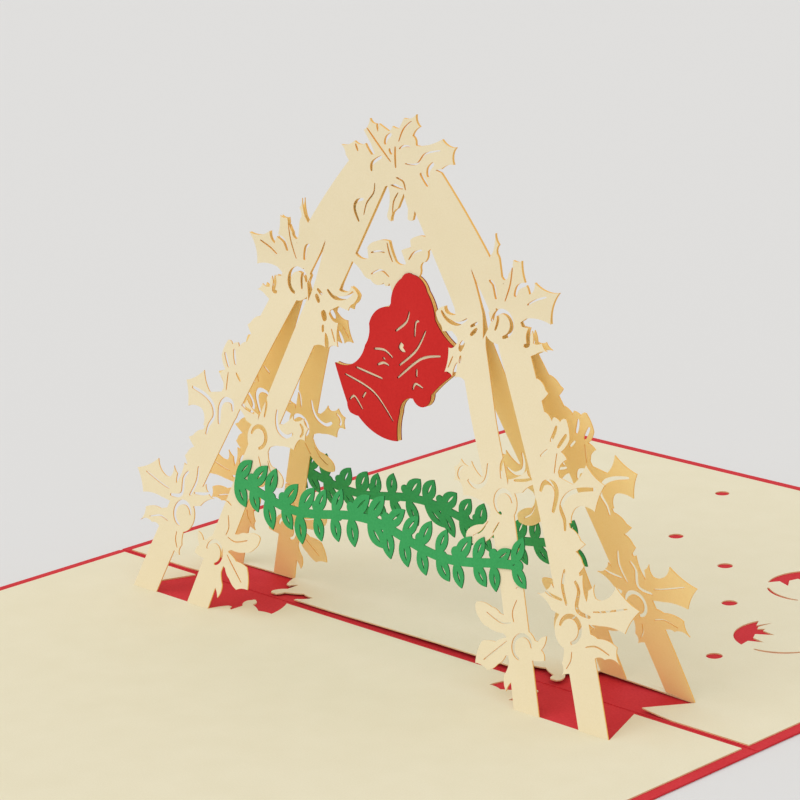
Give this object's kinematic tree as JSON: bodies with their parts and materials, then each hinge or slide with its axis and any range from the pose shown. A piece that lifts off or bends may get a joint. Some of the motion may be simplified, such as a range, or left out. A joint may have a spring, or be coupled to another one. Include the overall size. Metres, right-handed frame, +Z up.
{
  "type": "pop up card",
  "caption": "Open pop up card with a red cover, cream pages, a cut paper arch of holly legs, a red bell and a green garland.",
  "frame": {"origin": "on the table, under the middle of the spine of the open card", "axes": "+X along the spine, +Y across the open card from the front page to the back page, +Z up"},
  "size_m": [0.2036, 0.3032, 0.1233],
  "materials": {
    "red_card": "matt fine grained card, dyed red",
    "cream_paper": "matt cream paper",
    "red_paper": "matt red paper",
    "green_paper": "matt green paper"
  },
  "bodies": {
    "root": {"cover": "red_card", "front_leaf": "cream_paper", "back_leaf": "cream_paper", "front_bell": "red_paper", "back_bell": "red_paper", "front_garland": "green_paper", "back_garland": "green_paper"}
  },
  "joints": []
}
